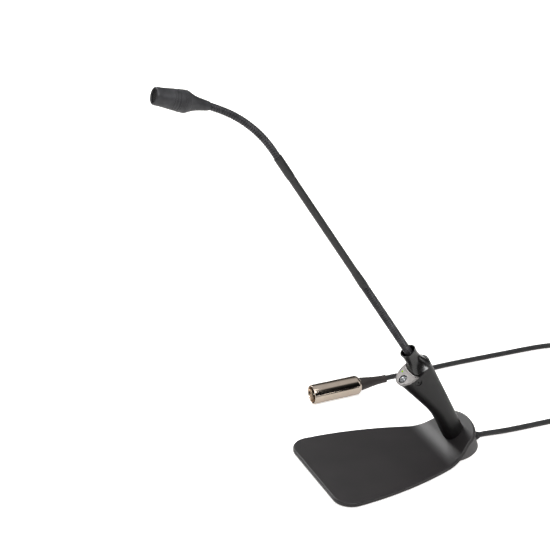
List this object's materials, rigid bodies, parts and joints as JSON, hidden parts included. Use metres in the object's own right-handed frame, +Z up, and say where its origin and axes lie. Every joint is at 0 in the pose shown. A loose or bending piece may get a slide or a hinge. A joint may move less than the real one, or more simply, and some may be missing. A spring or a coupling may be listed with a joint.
{
  "type": "gooseneck podium microphone",
  "caption": "Desktop gooseneck microphone on a weighted plate with a leaning post, mute button, two flexible neck sections and an attached cable with a three-pin plug.",
  "frame": {"origin": "on the table under the weighted plate, at mid-width, 78 mm behind the plate's front edge", "axes": "+Z up; the talker sits on the -Y side, so the neck leans towards -Y and the cable leaves towards +Y; +X is to the right when looking along +Y"},
  "size_m": [0.1951, 0.5116, 0.3887],
  "materials": {
    "plate_paint": "fine matte powder coat on a cast weighted plate",
    "pad_rubber": "fine ribbed non-slip rubber",
    "housing_plastic": "fine texture moulded ABS",
    "gland_rubber": "smooth moulded rubber",
    "screw_steel": "zinc plated",
    "lead_jacket": "smooth PVC jacket",
    "post_paint": "satin black paint",
    "panel_silver": "silver-grey painted plastic",
    "bezel_dark": "dark glossy ring",
    "button_grey": "grey polished dome",
    "switch_black": "moulded switch case",
    "board_green": "solder-masked circuit board",
    "lamp_green": "yellow-green lens",
    "boot_black": "smooth satin moulding",
    "socket_nickel": "turned nickel-plated sleeve",
    "contact_plastic": "moulded insulator",
    "contact_gold": "gold-plated pins",
    "flex_black": "black oxide wound steel tube",
    "tube_black": "satin black lacquer on steel",
    "head_black": "black anodised, fine bead-blasted",
    "capsule_metal": "turned capsule can",
    "gasket_rubber": "soft rubber ring",
    "foam_black": "open-cell acoustic foam",
    "grille_black": "perforated black anodised disc",
    "cord_jacket": "matte flexible cable jacket",
    "tie_black": "woven hook-and-loop strap",
    "plug_nickel": "nickel-plated die casting",
    "plug_boot_black": "matte moulded rubber boot",
    "plug_contact": "silver-plated contacts"
  },
  "bodies": {
    "base": {"base_plate": "plate_paint", "base_pad": "pad_rubber", "rear_housing": "housing_plastic", "rear_foot": "pad_rubber", "housing_screws": "screw_steel", "cable_gland": "gland_rubber", "cable_clamp": "screw_steel", "clamp_screws": "screw_steel", "inner_lead": "lead_jacket", "post_screws": "screw_steel", "post_shell": "post_paint", "top_panel": "panel_silver", "button_bezel": "bezel_dark", "switch_body": "switch_black", "circuit_board": "board_green", "lamp_lens": "lamp_green", "side_screw": "post_paint", "neck_boot": "boot_black", "neck_socket": "socket_nickel", "socket_contacts": "contact_plastic", "neck_plug": "socket_nickel", "plug_pins": "contact_gold", "lower_flex_1": "flex_black", "cord_leg_a": "cord_jacket", "cord_coil": "cord_jacket", "coil_tie": "tie_black", "cord_leg_b": "cord_jacket", "plug_boot": "plug_boot_black", "plug_shell": "plug_nickel", "plug_chuck": "contact_plastic", "plug_insert": "contact_plastic", "plug_contacts": "plug_contact"},
    "button": {"button_cap": "button_grey"},
    "lower_2": {"lower_flex_2": "flex_black"},
    "lower_3": {"lower_flex_3": "flex_black"},
    "lower_4": {"lower_flex_4": "flex_black"},
    "lower_5": {"lower_flex_5": "flex_black"},
    "tube": {"lower_flex_6": "flex_black", "lower_ferrule": "tube_black", "rigid_tube": "tube_black", "neck_lead": "lead_jacket", "upper_ferrule": "tube_black", "upper_flex_1": "flex_black"},
    "upper_2": {"upper_flex_2": "flex_black"},
    "upper_3": {"upper_flex_3": "flex_black"},
    "upper_4": {"upper_flex_4": "flex_black"},
    "upper_5": {"upper_flex_5": "flex_black"},
    "head": {"head_cone": "head_black", "lock_ring": "head_black", "capsule_housing": "head_black", "contact_board": "board_green", "capsule": "capsule_metal", "capsule_gasket": "gasket_rubber", "grille_foam": "foam_black", "front_grille": "grille_black"}
  },
  "joints": [
    {"name": "lower_bend_1", "type": "hinge", "parent": "base", "child": "lower_2", "pos_m": [0, 0.00757, 0.11921], "axis": [1, 0, 0], "range_deg": [-20, 20]},
    {"name": "lower_side_1", "type": "hinge", "parent": "lower_2", "child": "lower_3", "pos_m": [0, -0.00136, 0.13367], "axis": [0, 0.8508, 0.5255], "range_deg": [-25, 25]},
    {"name": "lower_bend_2", "type": "hinge", "parent": "lower_3", "child": "lower_4", "pos_m": [0, -0.0103, 0.14814], "axis": [1, 0, 0], "range_deg": [-20, 20]},
    {"name": "lower_side_2", "type": "hinge", "parent": "lower_4", "child": "lower_5", "pos_m": [0, -0.01923, 0.1626], "axis": [0, 0.8508, 0.5255], "range_deg": [-25, 25]},
    {"name": "lower_bend_3", "type": "hinge", "parent": "lower_5", "child": "tube", "pos_m": [0, -0.02816, 0.17706], "axis": [1, 0, 0], "range_deg": [-20, 20]},
    {"name": "upper_bend_1", "type": "hinge", "parent": "tube", "child": "upper_2", "pos_m": [0, -0.12128, 0.32783], "axis": [1, 0, 0], "range_deg": [-30, 15]},
    {"name": "upper_side_1", "type": "hinge", "parent": "upper_2", "child": "upper_3", "pos_m": [0, -0.1314, 0.34002], "axis": [0, 0.723, 0.6909], "range_deg": [-25, 25]},
    {"name": "upper_bend_2", "type": "hinge", "parent": "upper_3", "child": "upper_4", "pos_m": [0, -0.14312, 0.35069], "axis": [1, 0, 0], "range_deg": [-30, 15]},
    {"name": "upper_side_2", "type": "hinge", "parent": "upper_4", "child": "upper_5", "pos_m": [0, -0.15622, 0.35962], "axis": [0, 0.5045, 0.8634], "range_deg": [-25, 25]},
    {"name": "upper_bend_3", "type": "hinge", "parent": "upper_5", "child": "head", "pos_m": [0, -0.17043, 0.36664], "axis": [1, 0, 0], "range_deg": [-30, 15]},
    {"name": "button_press", "type": "slide", "parent": "base", "child": "button", "axis": [0, 0.6018, -0.7986], "range_m": [0, 0.0009], "stiffness_N_per_m": 800, "springref_m": -0.0008}
  ],
  "couplings": [
    {"joint": "lower_bend_2", "follows": "lower_bend_1", "ratio": 1},
    {"joint": "lower_bend_3", "follows": "lower_bend_1", "ratio": 1},
    {"joint": "lower_side_2", "follows": "lower_side_1", "ratio": 1},
    {"joint": "upper_bend_2", "follows": "upper_bend_1", "ratio": 1},
    {"joint": "upper_bend_3", "follows": "upper_bend_1", "ratio": 1},
    {"joint": "upper_side_2", "follows": "upper_side_1", "ratio": 1}
  ]
}
